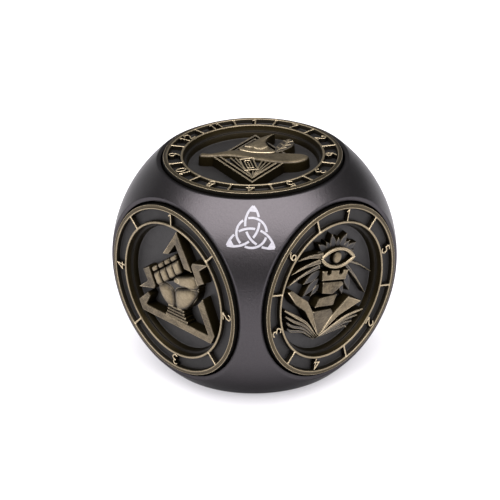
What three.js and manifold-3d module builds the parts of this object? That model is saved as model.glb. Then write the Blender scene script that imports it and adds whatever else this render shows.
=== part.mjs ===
// A six-dial spinner die: a ball-shaped aluminium body with a dial on each of its six flats.
// Each dial turns on its own ball bearing, and its ring is numbered as one kind of polyhedral die.
// Millimetres, +Z up, origin at the centre of the body.
import * as THREE from "three";
import { mergeVertices } from "three/addons/utils/BufferGeometryUtils.js";
import Module from "manifold-3d";

const wasm = await Module();
wasm.setup();

// Driving dimensions. Heights are measured along a dial's axis, from the centre of the body.
const HALF_WIDTH = 20; // centre to the face of each dial
const BALL_RADIUS = 25.8; // the body's spherical surface
const DIAL_PROUD = 0.7; // how far a dial stands out of its flat
const DIAL_RADIUS = 16;
const DIAL_GAP = 0.35; // radial gap between a dial and its pocket
const DIAL_EDGE_DEPTH = 2.0; // thickness of a dial under its outer rim
const DIAL_MIDDLE_DEPTH = 2.8; // face to back, inside the step on the back
const DIAL_STEP_RADIUS = 13.0; // where the back steps down
const RIM_WIDTH = 0.9;
const CHANNEL_DEPTH = 0.85; // the numbered channel, below the face
const RING_OUTER_RADIUS = 12.9; // the thin ring inside the channel
const RING_WIDTH = 0.5;
const RECESS_DEPTH = 2.2; // the emblem's floor, below the face
const EMBLEM_BELOW_FACE = 0.1;
const FRAME_BELOW_EMBLEM = 0.15; // keeps an emblem's outer frame just under its main block
const EMBLEM_ROOT = 0.2; // how far an emblem's blocks reach into the dial's floor
const FRAME_ROOT = 0.3;
const TICK_WIDTH = 0.3; // the bars between the numbers
const TICK_BELOW_FACE = 0.05;
const TICK_ROOT = 0.2; // how far a bar's ends reach into the rings beside it
const RUNNING_GAP = 0.4; // behind a dial, so that it spins clear
const STEP_GAP = 0.6; // beside the step on a dial's back
const BEARING_SUNK = 0.2; // below the floor of the pocket

// A 1/4 x 1/2 x 3/16 inch ball bearing.
const BEARING_OUTER_RADIUS = 6.35;
const BEARING_BORE_RADIUS = 3.175;
const BEARING_WIDTH = 4.76;
const BALL_COUNT = 10;
const BALL_SIZE_RADIUS = 0.72;
const GROOVE_RADIUS = 0.84;
const PITCH_RADIUS = (BEARING_OUTER_RADIUS + BEARING_BORE_RADIUS) / 2;
const OUTER_SHOULDER_RADIUS = 5.3;
const INNER_SHOULDER_RADIUS = 4.2;
const CAGE_INNER_RADIUS = 4.38;
const CAGE_OUTER_RADIUS = 5.08;
const CAGE_HALF_HEIGHT = 1.1;

// The hub: a boss and spigot on the dial's back, clamped to the bearing by a washer and a screw.
const BOSS_RADIUS = 4.0;
const SPIGOT_RADIUS = 3.08;
const SPIGOT_LENGTH = 4.2;
const SCREW_RADIUS = 1.5;
const THREAD_HOLE_RADIUS = 1.56;
const SCREW_HEAD_RADIUS = 2.75;
const SCREW_HEAD_HEIGHT = 1.8;
const SCREW_HEAD_TAPER = [0.4, 0.6]; // in, and along the head
const SCREW_END_GAP = 0.3;
const HEX_SOCKET_RADIUS = 1.15;
const HEX_SOCKET_DEPTH = 1.1;
const WASHER_RADIUS = 4.0;
const WASHER_THICKNESS = 0.6;
const SEAT_RADIUS = 6.42; // the bearing's seat in the body
const SHOULDER_BORE_RADIUS = 5.45; // clears the washer and the screw
const FIT_GAP = 0.02; // between faces that touch
const BOTTOM_GAP = 0.5; // under the screw's head

// Facets round each kind of turned piece.
const BODY_FACETS = 32;
const DIAL_FACETS = 24;
const POCKET_FACETS = 20;
const BEARING_FACETS = 16;
const HUB_FACETS = 12;

// Heights worked out from the driving dimensions.
const FLAT_HEIGHT = HALF_WIDTH - DIAL_PROUD;
const CHANNEL_FLOOR = HALF_WIDTH - CHANNEL_DEPTH;
const RECESS_FLOOR = HALF_WIDTH - RECESS_DEPTH;
const EMBLEM_TOP = HALF_WIDTH - EMBLEM_BELOW_FACE;
const FRAME_TOP = EMBLEM_TOP - FRAME_BELOW_EMBLEM;
const EDGE_BACK = HALF_WIDTH - DIAL_EDGE_DEPTH;
const MIDDLE_BACK = HALF_WIDTH - DIAL_MIDDLE_DEPTH;
const POCKET_FLOOR = MIDDLE_BACK - RUNNING_GAP;
const BEARING_TOP = POCKET_FLOOR - BEARING_SUNK;
const BEARING_MIDDLE = BEARING_TOP - BEARING_WIDTH / 2;
const BEARING_BOTTOM = BEARING_TOP - BEARING_WIDTH;
const HEAD_TOP = BEARING_BOTTOM - WASHER_THICKNESS - FIT_GAP;
const POCKET_BOTTOM = HEAD_TOP - SCREW_HEAD_HEIGHT - BOTTOM_GAP;

const MATERIALS = {
  body: { color: 0x4a484b, roughness: 0.42, metalness: 1.0 },
  dial: { color: 0x7d6b4c, roughness: 0.5, metalness: 1.0 },
  race: { color: 0xb9bbbe, roughness: 0.2, metalness: 1.0 },
  cage: { color: 0xa8a49a, roughness: 0.35, metalness: 1.0 },
  screw: { color: 0x55575a, roughness: 0.4, metalness: 1.0 },
};

// ---- three.js geometry to manifold-3d solid, and back ----

function toSolid(geometry) {
  const bare = geometry.clone();
  bare.deleteAttribute("normal");
  bare.deleteAttribute("uv");
  const merged = mergeVertices(bare, 1e-4);
  const mesh = new wasm.Mesh({
    numProp: 3,
    vertProperties: merged.attributes.position.array,
    triVerts: new Uint32Array(merged.index.array),
  });
  return new wasm.Manifold(mesh);
}

function toGeometry(solid) {
  const { vertProperties, triVerts } = solid.getMesh();
  const geometry = new THREE.BufferGeometry();
  geometry.setAttribute("position", new THREE.BufferAttribute(vertProperties, 3));
  geometry.setIndex(new THREE.BufferAttribute(triVerts, 1));
  geometry.computeVertexNormals();
  return geometry;
}

// Turns a profile of [radius, height] points about the Z axis.
function turned(profile, facets) {
  const points = profile.map(([radius, height]) => new THREE.Vector2(radius, height));
  return new THREE.LatheGeometry(points, facets).rotateX(Math.PI / 2);
}

// A flat outline, extruded from one height to another.
function plate(outline, bottom, top) {
  const shape = Array.isArray(outline)
    ? new THREE.Shape(outline.map(([x, y]) => new THREE.Vector2(x, y)))
    : outline;
  const options = { depth: top - bottom, bevelEnabled: false, curveSegments: 6 };
  return toSolid(new THREE.ExtrudeGeometry(shape, options).translate(0, 0, bottom));
}

// ---- emblems: simple raised blocks on a dial's recessed floor ----

const emblemPlate = (outline) => plate(outline, RECESS_FLOOR - EMBLEM_ROOT, EMBLEM_TOP);
const framePlate = (outline) => plate(outline, RECESS_FLOOR - FRAME_ROOT, FRAME_TOP);

// A bar of the given width from one point to another.
function bar([x0, y0], [x1, y1], width) {
  const length = Math.hypot(x1 - x0, y1 - y0);
  const [nx, ny] = [(-(y1 - y0) / length) * (width / 2), ((x1 - x0) / length) * (width / 2)];
  return emblemPlate([
    [x0 - nx, y0 - ny],
    [x1 - nx, y1 - ny],
    [x1 + nx, y1 + ny],
    [x0 + nx, y0 + ny],
  ]);
}

// A regular polygon's corners, the first one straight up.
function corners(count, radius) {
  return Array.from({ length: count }, (_, i) => {
    const angle = Math.PI / 2 + (i * 2 * Math.PI) / count;
    return [radius * Math.cos(angle), radius * Math.sin(angle)];
  });
}

// A frame between the corners, which run anticlockwise, and the same corners drawn smaller.
function frame(points, inside) {
  const shape = new THREE.Shape(points.map(([x, y]) => new THREE.Vector2(x, y)));
  shape.holes.push(new THREE.Path(points.map(([x, y]) => new THREE.Vector2(x * inside, y * inside))));
  return framePlate(shape);
}

function fistAndTriangle() {
  const fist = emblemPlate([
    [-5.2, 0.6],
    [-3.0, -3.6],
    [1.8, -3.6],
    [6.0, 0.8],
    [4.6, 5.6],
    [0.6, 7.4],
  ]);
  return frame(corners(3, 11.4), 0.76).add(fist);
}

function towerEyeAndBook() {
  const book = emblemPlate([
    [0, -9.2],
    [8.8, -4.4],
    [5.6, -2.6],
    [0, -5.6],
    [-5.6, -2.6],
    [-8.8, -4.4],
  ]);
  const tower = emblemPlate([
    [-2.6, -7.0],
    [2.6, -7.0],
    [2.0, 2.4],
    [-2.0, 2.4],
  ]);
  const eye = emblemPlate([
    [-5.2, 4.8],
    [0, 2.0],
    [5.2, 4.8],
    [0, 7.8],
  ]);
  return book.add(tower).add(eye);
}

function helmetAndSwords() {
  const helmet = emblemPlate([
    [-4.0, -4.6],
    [0, -6.8],
    [4.0, -4.6],
    [4.2, 2.8],
    [0, 6.2],
    [-4.2, 2.8],
  ]);
  return bar([-7.6, -7.6], [7.6, 7.6], 1.3)
    .add(bar([7.6, -7.6], [-7.6, 7.6], 1.3))
    .add(helmet);
}

function bowAndKite() {
  const kite = [
    [0, 9.6],
    [-6.6, -1.6],
    [0, -6.4],
    [6.6, -1.6],
  ];
  return frame(kite, 0.8).add(bar([-6.8, -6.8], [6.4, 6.4], 1.4));
}

function hatAndDiamond() {
  const hat = emblemPlate([
    [-9.4, 0.4],
    [9.8, -1.6],
    [5.4, 1.4],
    [3.2, 9.4],
    [-2.0, 3.6],
  ]);
  return frame(corners(4, 10.6), 0.86).add(hat);
}

function crownAndHexagon() {
  const crown = emblemPlate([
    [-4.8, -3.0],
    [4.8, -3.0],
    [6.0, 3.6],
    [2.6, 0.8],
    [0, 5.0],
    [-2.6, 0.8],
    [-6.0, 3.6],
  ]);
  return frame(corners(6, 9.8), 0.88).add(crown).add(bar([0, -8.4], [0, -2.0], 1.0));
}

// ---- the pieces of one dial station, built along +Z ----

function dialSolid(sectors, emblem) {
  const outline = [
    [0, BEARING_TOP],
    [THREAD_HOLE_RADIUS, BEARING_TOP],
    [THREAD_HOLE_RADIUS, BEARING_TOP - SPIGOT_LENGTH],
    [SPIGOT_RADIUS, BEARING_TOP - SPIGOT_LENGTH],
    [SPIGOT_RADIUS, BEARING_TOP + FIT_GAP],
    [BOSS_RADIUS, BEARING_TOP + FIT_GAP],
    [BOSS_RADIUS, MIDDLE_BACK],
    [DIAL_STEP_RADIUS, MIDDLE_BACK],
    [DIAL_STEP_RADIUS, EDGE_BACK],
    [DIAL_RADIUS, EDGE_BACK],
    [DIAL_RADIUS, HALF_WIDTH],
    [DIAL_RADIUS - RIM_WIDTH, HALF_WIDTH],
    [DIAL_RADIUS - RIM_WIDTH, CHANNEL_FLOOR],
    [RING_OUTER_RADIUS, CHANNEL_FLOOR],
    [RING_OUTER_RADIUS, HALF_WIDTH],
    [RING_OUTER_RADIUS - RING_WIDTH, HALF_WIDTH],
    [RING_OUTER_RADIUS - RING_WIDTH, RECESS_FLOOR],
    [0, RECESS_FLOOR],
  ];
  let solid = toSolid(turned(outline, DIAL_FACETS)).add(emblem);
  const tickStart = RING_OUTER_RADIUS - TICK_ROOT;
  const tickEnd = DIAL_RADIUS - RIM_WIDTH + TICK_ROOT;
  const tickTop = HALF_WIDTH - TICK_BELOW_FACE;
  for (let i = 0; i < sectors; i++) {
    const tick = new THREE.BoxGeometry(TICK_WIDTH, tickEnd - tickStart, CHANNEL_DEPTH);
    tick.translate(0, (tickStart + tickEnd) / 2, tickTop - CHANNEL_DEPTH / 2);
    tick.rotateZ(((i + 0.5) * 2 * Math.PI) / sectors);
    solid = solid.add(toSolid(tick));
  }
  return solid;
}

// Points of the ball groove where it meets a shoulder, from the low side to the high side.
function groove(shoulderRadius) {
  const side = Math.sign(shoulderRadius - PITCH_RADIUS);
  const reach = Math.acos(Math.abs(shoulderRadius - PITCH_RADIUS) / GROOVE_RADIUS);
  const steps = 2;
  return Array.from({ length: steps + 1 }, (_, i) => {
    const angle = -reach + (2 * reach * i) / steps;
    const radius = PITCH_RADIUS + side * GROOVE_RADIUS * Math.cos(angle);
    return [radius, BEARING_MIDDLE + GROOVE_RADIUS * Math.sin(angle)];
  });
}

function outerRing() {
  return turned(
    [
      [BEARING_OUTER_RADIUS, BEARING_BOTTOM + FIT_GAP],
      [BEARING_OUTER_RADIUS, BEARING_TOP],
      [OUTER_SHOULDER_RADIUS, BEARING_TOP],
      ...groove(OUTER_SHOULDER_RADIUS).reverse(),
      [OUTER_SHOULDER_RADIUS, BEARING_BOTTOM + FIT_GAP],
      [BEARING_OUTER_RADIUS, BEARING_BOTTOM + FIT_GAP],
    ],
    BEARING_FACETS,
  );
}

function innerRing() {
  return turned(
    [
      [BEARING_BORE_RADIUS, BEARING_TOP],
      [BEARING_BORE_RADIUS, BEARING_BOTTOM],
      [INNER_SHOULDER_RADIUS, BEARING_BOTTOM],
      ...groove(INNER_SHOULDER_RADIUS),
      [INNER_SHOULDER_RADIUS, BEARING_TOP],
      [BEARING_BORE_RADIUS, BEARING_TOP],
    ],
    BEARING_FACETS,
  );
}

// The cage and its balls, joined: the balls show through the cage on both sides.
function ballCage() {
  const ring = turned(
    [
      [CAGE_INNER_RADIUS, BEARING_MIDDLE - CAGE_HALF_HEIGHT],
      [CAGE_OUTER_RADIUS, BEARING_MIDDLE - CAGE_HALF_HEIGHT],
      [CAGE_OUTER_RADIUS, BEARING_MIDDLE + CAGE_HALF_HEIGHT],
      [CAGE_INNER_RADIUS, BEARING_MIDDLE + CAGE_HALF_HEIGHT],
      [CAGE_INNER_RADIUS, BEARING_MIDDLE - CAGE_HALF_HEIGHT],
    ],
    BALL_COUNT * 2,
  );
  let solid = toSolid(ring);
  for (let i = 0; i < BALL_COUNT; i++) {
    const ball = new THREE.SphereGeometry(BALL_SIZE_RADIUS, 6, 3);
    ball.translate(PITCH_RADIUS, 0, BEARING_MIDDLE);
    ball.rotateZ((i * 2 * Math.PI) / BALL_COUNT);
    solid = solid.add(toSolid(ball));
  }
  return toGeometry(solid);
}

function hubWasher() {
  const [bottom, top] = [HEAD_TOP, BEARING_BOTTOM - FIT_GAP];
  return turned(
    [
      [THREAD_HOLE_RADIUS, bottom],
      [WASHER_RADIUS, bottom],
      [WASHER_RADIUS, top],
      [THREAD_HOLE_RADIUS, top],
      [THREAD_HOLE_RADIUS, bottom],
    ],
    HUB_FACETS,
  );
}

function hubScrew() {
  const headBottom = HEAD_TOP - SCREW_HEAD_HEIGHT;
  const [taperIn, taperHeight] = SCREW_HEAD_TAPER;
  const blank = turned(
    [
      [0, headBottom],
      [SCREW_HEAD_RADIUS - taperIn, headBottom],
      [SCREW_HEAD_RADIUS, headBottom + taperHeight],
      [SCREW_HEAD_RADIUS, HEAD_TOP - FIT_GAP],
      [SCREW_RADIUS, HEAD_TOP - FIT_GAP],
      [SCREW_RADIUS, BEARING_TOP - SCREW_END_GAP],
      [0, BEARING_TOP - SCREW_END_GAP],
    ],
    HUB_FACETS,
  );
  const socketSize = [HEX_SOCKET_RADIUS, HEX_SOCKET_RADIUS, 2 * HEX_SOCKET_DEPTH];
  const socket = new THREE.CylinderGeometry(...socketSize, 6);
  socket.rotateX(Math.PI / 2).translate(0, 0, headBottom);
  return toGeometry(toSolid(blank).subtract(toSolid(socket)));
}

// What a station takes out of the body: the dial's pocket, the bearing's seat and the screw's room.
function pocket() {
  const radius = DIAL_RADIUS + DIAL_GAP;
  const stepRadius = DIAL_STEP_RADIUS + STEP_GAP;
  return turned(
    [
      [0, POCKET_BOTTOM],
      [SHOULDER_BORE_RADIUS, POCKET_BOTTOM],
      [SHOULDER_BORE_RADIUS, BEARING_BOTTOM],
      [SEAT_RADIUS, BEARING_BOTTOM],
      [SEAT_RADIUS, POCKET_FLOOR],
      [stepRadius, POCKET_FLOOR],
      [stepRadius, EDGE_BACK - RUNNING_GAP],
      [radius, EDGE_BACK - RUNNING_GAP],
      [radius, BALL_RADIUS],
      [0, BALL_RADIUS],
    ],
    POCKET_FACETS,
  );
}

// ---- stations: which die each dial stands for, where it faces and which way up it stands ----

const STATIONS = [
  { die: "d4", sectors: 4, normal: [0, -1, 0], up: [0, 0, 1], turn: 0, emblem: fistAndTriangle },
  { die: "d6", sectors: 6, normal: [1, 0, 0], up: [0, 0, 1], turn: -16.7, emblem: towerEyeAndBook },
  { die: "d8", sectors: 8, normal: [0, 1, 0], up: [0, 0, 1], turn: 0, emblem: helmetAndSwords },
  { die: "d10", sectors: 10, normal: [-1, 0, 0], up: [0, 0, 1], turn: 0, emblem: bowAndKite },
  { die: "d12", sectors: 12, normal: [0, 0, 1], up: [0, 1, 0], turn: 45, emblem: hatAndDiamond },
  { die: "d20", sectors: 20, normal: [0, 0, -1], up: [0, 1, 0], turn: 0, emblem: crownAndHexagon },
];

// A group whose +Z is the station's axis and whose +Y is its upright direction.
function stationGroup({ normal, up }) {
  const z = new THREE.Vector3(...normal);
  const y = new THREE.Vector3(...up);
  const x = new THREE.Vector3().crossVectors(y, z);
  const group = new THREE.Group();
  group.quaternion.setFromRotationMatrix(new THREE.Matrix4().makeBasis(x, y, z));
  return group;
}

function named(name, geometry, material) {
  const mesh = new THREE.Mesh(geometry, new THREE.MeshStandardMaterial(MATERIALS[material]));
  mesh.name = name;
  return mesh;
}

function bodyShell() {
  // The corners stand outside the ball, so that the facets lie on it.
  const cornerRadius = BALL_RADIUS / Math.cos(Math.PI / BODY_FACETS);
  const ball = toSolid(new THREE.SphereGeometry(cornerRadius, BODY_FACETS, BODY_FACETS / 2));
  const width = 2 * FLAT_HEIGHT;
  let solid = ball.intersect(toSolid(new THREE.BoxGeometry(width, width, width)));
  for (const station of STATIONS) {
    const group = stationGroup(station);
    group.updateMatrix();
    solid = solid.subtract(toSolid(pocket().applyMatrix4(group.matrix)));
  }
  return toGeometry(solid);
}

const die = new THREE.Group();
die.add(named("shell", bodyShell(), "body"));
for (const station of STATIONS) {
  const group = stationGroup(station);
  const casting = toGeometry(dialSolid(station.sectors, station.emblem()));
  const dial = named(`${station.die}_dial`, casting, "dial");
  dial.rotation.z = THREE.MathUtils.degToRad(station.turn);
  group.add(
    dial,
    named(`${station.die}_bearing_outer_ring`, outerRing(), "race"),
    named(`${station.die}_bearing_inner_ring`, innerRing(), "race"),
    named(`${station.die}_ball_cage`, ballCage(), "cage"),
    named(`${station.die}_hub_washer`, hubWasher(), "screw"),
    named(`${station.die}_hub_screw`, hubScrew(), "screw"),
  );
  die.add(group);
}

export default die;
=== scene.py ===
"""A six-dial spinner die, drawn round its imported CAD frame: body, dials, bearings, floor, light and camera.

Outlines and profiles are in millimetres in a dial's own frame, whose +Z is the dial's axis and whose
origin is the centre of the body. build() turns them into metres.
"""
import math

import bmesh
import bpy
from mathutils import Matrix, Vector
from mathutils.geometry import tessellate_polygon


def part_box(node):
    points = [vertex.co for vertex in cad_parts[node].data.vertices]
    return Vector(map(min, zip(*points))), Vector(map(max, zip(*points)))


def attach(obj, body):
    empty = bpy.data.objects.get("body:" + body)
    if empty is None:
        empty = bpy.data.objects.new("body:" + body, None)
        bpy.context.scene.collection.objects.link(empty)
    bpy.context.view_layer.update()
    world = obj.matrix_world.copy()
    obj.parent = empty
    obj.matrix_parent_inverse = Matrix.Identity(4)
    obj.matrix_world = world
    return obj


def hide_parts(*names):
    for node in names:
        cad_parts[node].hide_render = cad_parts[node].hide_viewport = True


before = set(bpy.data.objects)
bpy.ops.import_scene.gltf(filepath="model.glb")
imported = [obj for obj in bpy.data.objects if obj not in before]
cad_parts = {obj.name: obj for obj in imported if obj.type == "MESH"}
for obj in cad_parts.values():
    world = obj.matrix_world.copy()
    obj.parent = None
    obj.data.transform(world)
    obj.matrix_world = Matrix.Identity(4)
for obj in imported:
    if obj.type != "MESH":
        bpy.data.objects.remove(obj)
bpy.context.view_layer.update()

MM = 0.001


# ---- Dimensions. The first ones are read off the frame, so that they follow the CAD model.

def reach(node, axis):
    """How far a CAD node reaches along a positive axis, in millimetres."""
    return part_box(node)[1][axis] / MM


FACE = reach("d12_dial", 2)  # centre to the dials' faces
DIAL_R = reach("d12_dial", 0)
FLAT = reach("shell", 2)  # centre to the body's flats
BEARING_TOP = reach("d12_bearing_outer_ring", 2)
BEARING_R = reach("d12_bearing_outer_ring", 0)
BEARING_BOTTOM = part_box("d12_bearing_inner_ring")[0][2] / MM
HEAD_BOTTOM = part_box("d12_hub_screw")[0][2] / MM

BALL_R = 25.8  # the body's round surface
DIAL_GAP = 0.35  # between a dial and its pocket
POCKET_R = DIAL_R + DIAL_GAP
SHELL_FILLET = 0.35

CHANNEL_FLOOR = FACE - 0.85
BASIN_FLOOR = FACE - 2.2
EMBLEM_TOP = FACE - 0.12
EMBED = 0.25  # how deep raised work is sunk into its floor
TURN_STEPS = 192

# How a raised shape's top edge is rounded: (inset, drop) steps from the top down.
EDGE = ((0.08, 0), (0.03, 0.03), (0, 0.09))
SOFT = ((0.2, 0), (0.1, 0.03), (0.03, 0.1), (0, 0.2))
DOME = ((0.6, 0), (0.42, 0.03), (0.27, 0.09), (0.15, 0.18), (0.06, 0.3), (0, 0.48))

LAYER = 0.006  # keeps the tops of crossing lines off each other
INSET_SHARE = 0.42  # how much of the way across an outline its points may move inwards
CORNER_SHARE = 0.45  # how much of a side a rounded corner may take up
MITRE_FLOOR = 0.35  # keeps the sharpest corners of a line from being drawn out too far
THINNEST = 0.01  # the least half width of a line
PARALLEL = 1e-9
TOUCHING = 1e-6
LEVEL = 0.9999  # the least Z of a level face's normal


# ---- Mesh building

class Builder:
    """Collects vertices and faces, in millimetres, for one piece."""

    def __init__(self):
        self.verts = []
        self.faces = []

    def ring(self, points):
        """Adds points and returns their indices."""
        start = len(self.verts)
        self.verts.extend(points)
        return list(range(start, len(self.verts)))

    def bridge(self, low, high, closed=True):
        """Quads between two rings of the same length. A ring of one vertex makes triangles."""
        count = max(len(low), len(high))
        for i in range(count if closed else count - 1):
            j = (i + 1) % count
            corners = [low[i % len(low)], low[j % len(low)], high[j % len(high)], high[i % len(high)]]
            self.faces.append(list(dict.fromkeys(corners)))

    def bridges(self, rings, closed=True):
        """Quads between each ring and the next."""
        for low, high in zip(rings, rings[1:]):
            self.bridge(low, high, closed)

    def cap(self, ring, up=True):
        self.faces.append(list(ring) if up else list(reversed(ring)))

    def fill(self, ring, outline, up=True):
        """Closes a ring whose outline may have notches."""
        for triangle in tessellate_polygon([[Vector((x, y, 0)) for x, y in outline]]):
            self.cap([ring[i] for i in triangle], up)

    def lathe(self, profile, steps=TURN_STEPS, closed=False):
        """Turns (radius, height) points about Z, anticlockwise in the radius-height plane."""
        rings = [self.ring(circle(radius, height, steps)) for radius, height in profile]
        self.bridges(rings + rings[:1] if closed else rings)

    def relief(self, outline, top, base, edge=EDGE, draft=0.14):
        """A raised shape: an anticlockwise outline whose top edge follows (inset, drop) steps."""
        room = inward_room(outline)
        levels = [(-draft, base)]
        levels += [(inset, top - drop) for inset, drop in reversed(edge)]
        outlines = [inset_outline(outline, inset, room) for inset, _ in levels]
        rings = []
        for points, (_, height) in zip(outlines, levels):
            rings.append(self.ring([(x, y, height) for x, y in points]))
        self.bridges(rings)
        self.fill(rings[-1], outlines[-1])
        self.fill(rings[0], outlines[0], up=False)

    def cushion(self, outline, top, base, bulge=0.7, draft=0.1, steps=7):
        """A raised shape that swells up towards its middle. The outline has no deep notches."""
        cx = sum(x for x, _ in outline) / len(outline)
        cy = sum(y for _, y in outline) / len(outline)
        foot = inset_outline(outline, -draft, [0.0] * len(outline))
        levels = [(foot, 1.0, base), (outline, 1.0, top - bulge)]
        for i in range(1, steps):
            angle = math.pi / 2 * i / steps
            levels.append((outline, math.cos(angle) ** 0.6, top - bulge + bulge * math.sin(angle)))
        rings = [self.ring([(cx, cy, base)])]
        for points, scale, height in levels:
            scaled = [(cx + (x - cx) * scale, cy + (y - cy) * scale, height) for x, y in points]
            rings.append(self.ring(scaled))
        rings.append(self.ring([(cx, cy, top)]))
        self.bridges(rings)

    def stroke(self, path, width, top, base, closed=False, soft=0.07, draft=0.1):
        """A raised line along a path. width is a number, or one for each point of the path."""
        widths = width if isinstance(width, (list, tuple)) else [width] * len(path)
        section = [(1, draft, base), (1, 0, top - soft), (1, -soft, top)]
        section += [(-1, -soft, top), (-1, 0, top - soft), (-1, draft, base)]
        rows = []
        for side, grow, height in section:
            points = []
            for (x, y), (nx, ny), w in zip(path, path_normals(path, closed), widths):
                away = side * max(w / 2 + grow, THINNEST)
                points.append((x + nx * away, y + ny * away, height))
            rows.append(self.ring(points))
        self.bridges(rows + rows[:1], closed)
        if not closed:
            self.cap([row[0] for row in rows])
            self.cap([row[-1] for row in rows], up=False)

    def placed(self, other, turn=0.0, shift=(0, 0)):
        """Adds another builder's work, shifted and then turned about Z."""
        start = len(self.verts)
        c, s = math.cos(turn), math.sin(turn)
        for x, y, z in other.verts:
            x, y = x + shift[0], y + shift[1]
            self.verts.append((x * c - y * s, x * s + y * c, z))
        self.faces.extend([[start + i for i in face] for face in other.faces])

    def build(self, name, material, matrix=None, sharp=38, weld=0.0, level=False):
        """Makes the object: smooth, but with a crease wherever faces meet at more than `sharp` degrees.

        With `level`, faces square to Z are flat too.
        """
        mesh = bpy.data.meshes.new(name)
        mesh.from_pydata([Vector(v) * MM for v in self.verts], [], self.faces)
        bm = bmesh.new()
        bm.from_mesh(mesh)
        if weld:
            bmesh.ops.remove_doubles(bm, verts=bm.verts, dist=weld * MM)
        bmesh.ops.recalc_face_normals(bm, faces=bm.faces)
        bm.to_mesh(mesh)
        bm.free()
        mesh.shade_smooth()
        mesh.set_sharp_from_angle(angle=math.radians(sharp))
        if level:
            for polygon_face in mesh.polygons:
                polygon_face.use_smooth = polygon_face.normal.z < LEVEL
        mesh.materials.append(material)
        piece = bpy.data.objects.new(name, mesh)
        bpy.context.scene.collection.objects.link(piece)
        if matrix is not None:
            piece.matrix_world = matrix
        return piece


def turns(count):
    """Angles evenly spaced round a full turn, in radians."""
    return [2 * math.pi * i / count for i in range(count)]


def polar(radius, angle, height):
    return (radius * math.cos(angle), radius * math.sin(angle), height)


def circle(radius, height, steps):
    """Points of a level circle about Z, or the one point where the radius is nothing."""
    return [polar(radius, a, height) for a in turns(1 if radius == 0 else steps)]


def path_normals(path, closed=False):
    """The left-hand normal at each point of a path, lengthened at corners so that widths stay true."""
    count = len(path)
    normals = []
    for i, (x, y) in enumerate(path):
        before = path[i - 1] if i or closed else None
        after = path[(i + 1) % count] if i < count - 1 or closed else None
        sides = []
        for start, end in ((before, (x, y)), ((x, y), after)):
            if start is None or end is None:
                continue
            dx, dy = end[0] - start[0], end[1] - start[1]
            length = math.hypot(dx, dy) or 1.0
            sides.append((-dy / length, dx / length))
        if len(sides) == 1:
            normals.append(sides[0])
            continue
        (ax, ay), (bx, by) = sides
        spread = max(1 + ax * bx + ay * by, MITRE_FLOOR)
        normals.append(((ax + bx) / spread, (ay + by) / spread))
    return normals


def inward_room(outline):
    """How far each point of an anticlockwise outline can move inwards: a share of the way across."""
    normals = path_normals(outline, closed=True)
    count = len(outline)
    room = []
    for i, ((x, y), (nx, ny)) in enumerate(zip(outline, normals)):
        nearest = math.inf
        for k in range(count):
            if k in (i, (i - 1) % count):
                continue
            (ax, ay), (bx, by) = outline[k], outline[(k + 1) % count]
            ex, ey = bx - ax, by - ay
            cross = nx * ey - ny * ex
            if abs(cross) < PARALLEL:
                continue
            along = ((ax - x) * ey - (ay - y) * ex) / cross
            place = ((ax - x) * ny - (ay - y) * nx) / cross
            if along > TOUCHING and -TOUCHING <= place <= 1 + TOUCHING:
                nearest = min(nearest, along)
        room.append(INSET_SHARE * nearest)
    return room


def inset_outline(outline, distance, room):
    """The outline moved inwards, or outwards where distance is negative."""
    moved = []
    for (x, y), (nx, ny), most in zip(outline, path_normals(outline, closed=True), room):
        step = min(distance, most)
        moved.append((x + nx * step, y + ny * step))
    return moved


def rounded(points, radius=0.25, steps=4):
    """An outline with each corner rounded off."""
    outline = []
    count = len(points)
    for i, corner in enumerate(points):
        corner = Vector(corner)
        before = Vector(points[i - 1]) - corner
        after = Vector(points[(i + 1) % count]) - corner
        start = corner + before.normalized() * min(radius, before.length * CORNER_SHARE)
        end = corner + after.normalized() * min(radius, after.length * CORNER_SHARE)
        for k in range(steps + 1):
            t = k / steps
            outline.append(tuple(start * (1 - t) ** 2 + corner * 2 * t * (1 - t) + end * t * t))
    return outline


def curve(points, steps=8, closed=False):
    """A smooth path through the points (Catmull-Rom)."""
    points = [Vector(p) for p in points]
    count = len(points)
    path = []
    for i in range(count if closed else count - 1):
        if closed:
            a, b, c, d = (points[(i + k) % count] for k in (-1, 0, 1, 2))
        else:
            a, b, c, d = (points[min(max(i + k, 0), count - 1)] for k in (-1, 0, 1, 2))
        for k in range(steps):
            t = k / steps
            path.append(tuple(0.5 * (2 * b + (c - a) * t + (2 * a - 5 * b + 4 * c - d) * t * t
                                     + (3 * b - a - 3 * c + d) * t ** 3)))
    if not closed:
        path.append(tuple(points[-1]))
    return path


def arc(cx, cy, rx, ry, start, end, steps=16):
    """Points of an ellipse's arc, in degrees."""
    angles = [math.radians(start + (end - start) * i / steps) for i in range(steps + 1)]
    return [(cx + rx * math.cos(a), cy + ry * math.sin(a)) for a in angles]


def capsule(start, end, width, end_width=None):
    """The outline of a round-ended bar."""
    end_width = end_width or width
    angle = math.degrees(math.atan2(end[1] - start[1], end[0] - start[0]))
    outline = arc(*start, width / 2, width / 2, angle + 90, angle + 270, 10)
    outline += arc(*end, end_width / 2, end_width / 2, angle - 90, angle + 90, 10)
    return outline


def leaf(base, tip, width, steps=10):
    """The outline of a pointed leaf, anticlockwise."""
    base, tip = Vector(base), Vector(tip)
    along = tip - base
    across = Vector((along.y, -along.x)).normalized() * width / 2
    side = [math.sin(math.pi * min((i / steps) ** 0.8, 1.0)) for i in range(steps + 1)]
    right = [tuple(base + along * i / steps + across * side[i]) for i in range(steps + 1)]
    left = [tuple(base + along * i / steps - across * side[i]) for i in range(steps - 1, 0, -1)]
    return right + left


def polygon(count, radius, turn=90.0):
    """The corners of a regular polygon. The first one is at the turn, in degrees."""
    return arc(0, 0, radius, radius, turn, turn + 360, count)[:-1]

# ---- Numerals: each is a few pen strokes in a box one unit high, centred on the origin.
# A stroke is (path, closed).

def ellipse(cx, cy, rx, ry):
    return arc(cx, cy, rx, ry, 0, 360, 24)[:-1]


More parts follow.
